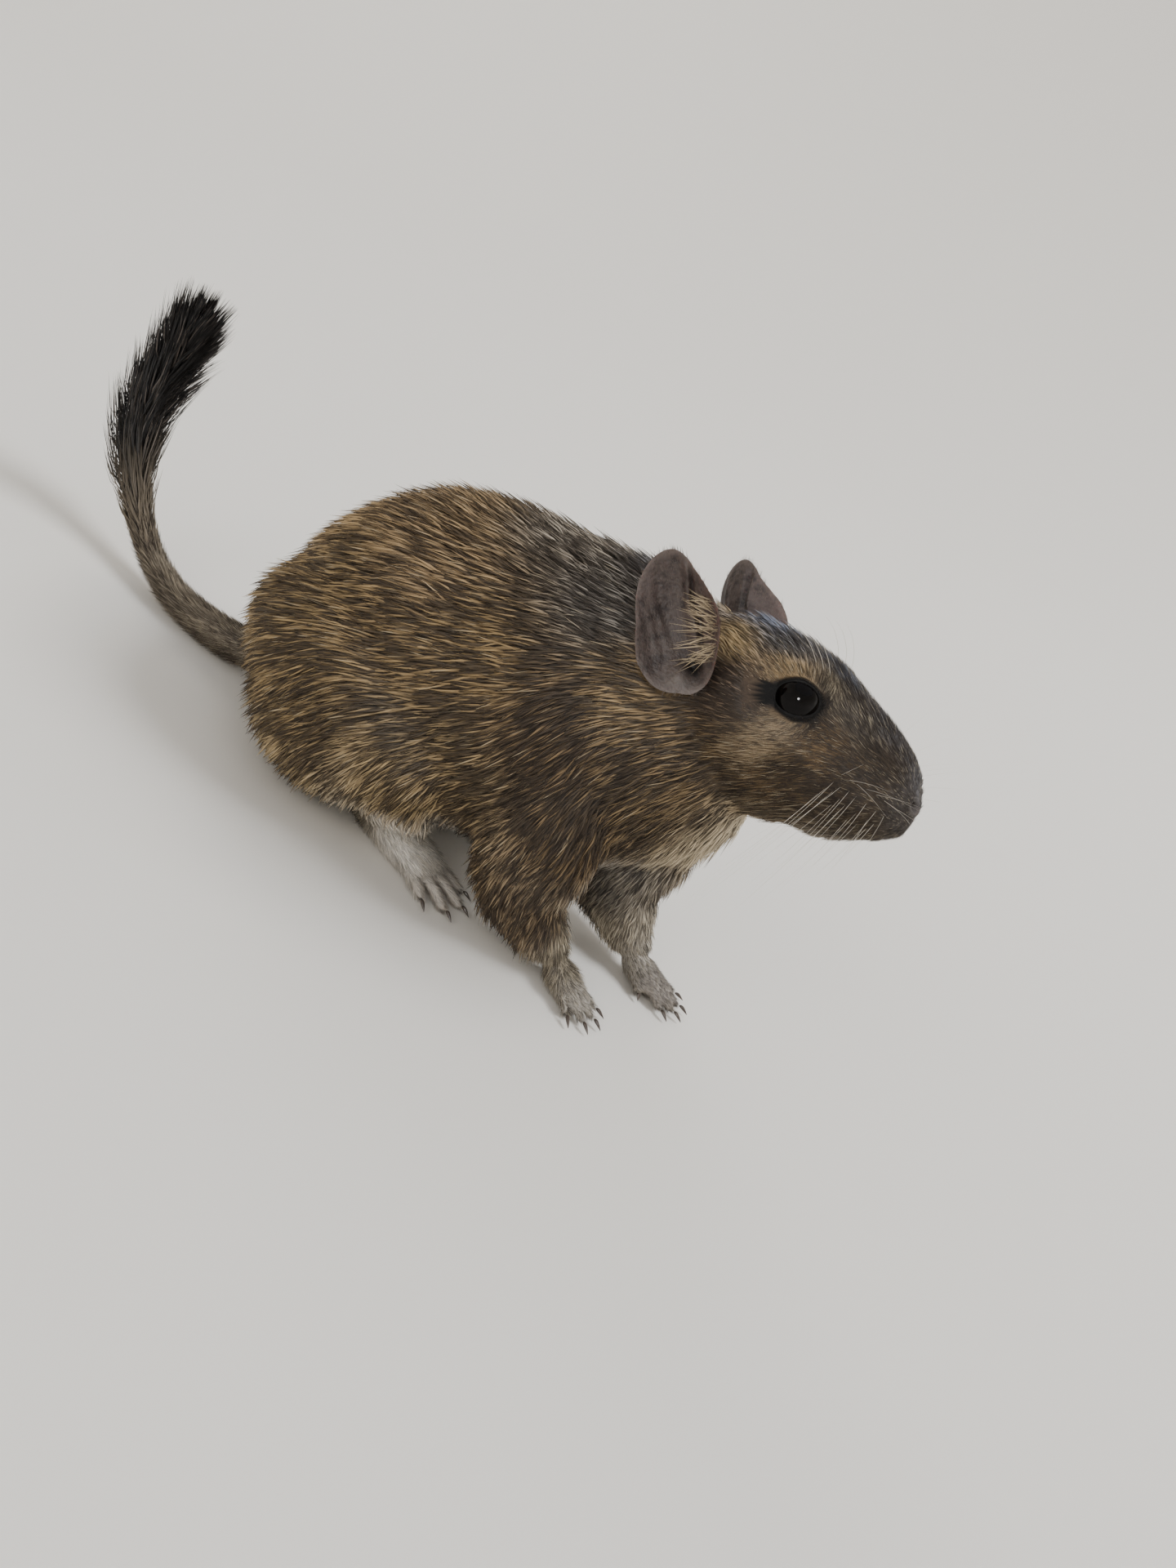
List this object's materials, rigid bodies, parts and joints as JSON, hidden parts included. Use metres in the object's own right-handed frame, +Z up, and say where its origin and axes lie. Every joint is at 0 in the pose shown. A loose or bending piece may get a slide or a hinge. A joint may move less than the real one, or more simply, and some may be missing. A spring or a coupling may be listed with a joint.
{
  "type": "degu",
  "caption": "Life-size crouching degu, a brush-tailed rodent on straight forelegs with large thin ears and a tail curved up into a dark brush.",
  "frame": {"origin": "on the floor, under the middle of the bounding box", "axes": "+X towards the nose, +Y towards the animal's left, +Z up"},
  "size_m": [0.2124, 0.072, 0.0914],
  "materials": {
    "coat": "short agouti fur, brown-black with yellowish tan",
    "pale_coat": "very short pale grey fur of the feet",
    "ear_skin": "thin nearly bare grey-brown skin",
    "eye": "glossy black",
    "claw": "dull dark horn",
    "brush": "long dark brown-black hair"
  },
  "bodies": {
    "root": {"torso": "coat", "neck": "coat", "head": "coat", "leg_hind_right": "coat", "leg_hind_left": "coat", "leg_fore_right": "coat", "leg_fore_left": "coat", "tail_root": "coat", "tail_middle": "coat", "tail_bend": "coat", "tail_brush": "brush", "foot_hind_right": "pale_coat", "foot_hind_left": "pale_coat", "foot_fore_right": "pale_coat", "foot_fore_left": "pale_coat", "ear_right": "ear_skin", "ear_left": "ear_skin", "eye_right": "eye", "eye_left": "eye", "claw_hind_right_1": "claw", "claw_hind_right_2": "claw", "claw_hind_right_3": "claw", "claw_hind_right_4": "claw", "claw_hind_right_5": "claw", "claw_hind_left_1": "claw", "claw_hind_left_2": "claw", "claw_hind_left_3": "claw", "claw_hind_left_4": "claw", "claw_hind_left_5": "claw", "claw_fore_right_1": "claw", "claw_fore_right_2": "claw", "claw_fore_right_3": "claw", "claw_fore_right_4": "claw", "claw_fore_right_5": "claw", "claw_fore_left_1": "claw", "claw_fore_left_2": "claw", "claw_fore_left_3": "claw", "claw_fore_left_4": "claw", "claw_fore_left_5": "claw"}
  },
  "joints": []
}
